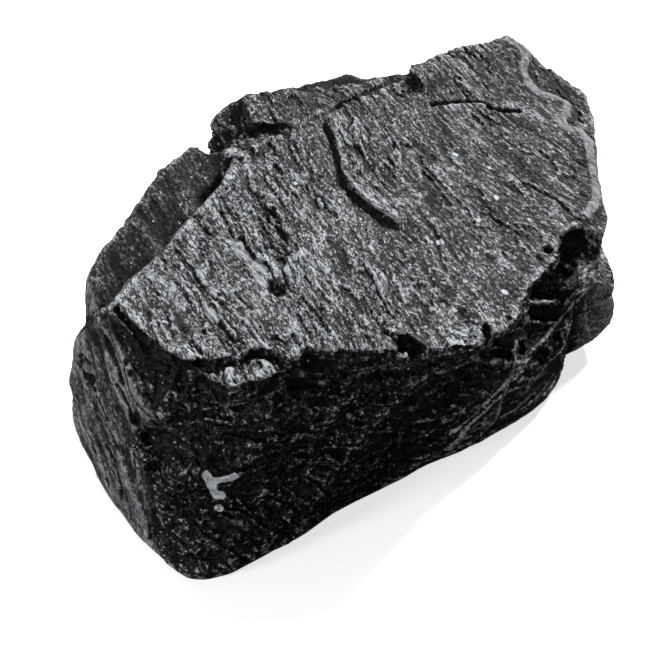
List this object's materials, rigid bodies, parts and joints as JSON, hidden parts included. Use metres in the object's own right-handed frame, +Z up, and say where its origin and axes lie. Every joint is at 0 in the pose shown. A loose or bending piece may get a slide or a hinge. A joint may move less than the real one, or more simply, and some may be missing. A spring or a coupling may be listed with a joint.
{
  "type": "coal lump",
  "caption": "Rough angular lump of hard coal with a sloping grained top, a rib-marked broken front, a leafy left end and a flat patch to lie on.",
  "frame": {"origin": "on the flat patch that the lump lies on, under the middle of the box around it", "axes": "+X along the long front face, to the right; -Y towards the front; +Z up"},
  "size_m": [0.1214, 0.0756, 0.0446],
  "materials": {
    "coal": "dull grained top and left end, glossy broken front"
  },
  "bodies": {
    "root": {"coal_lump": "coal"}
  },
  "joints": []
}
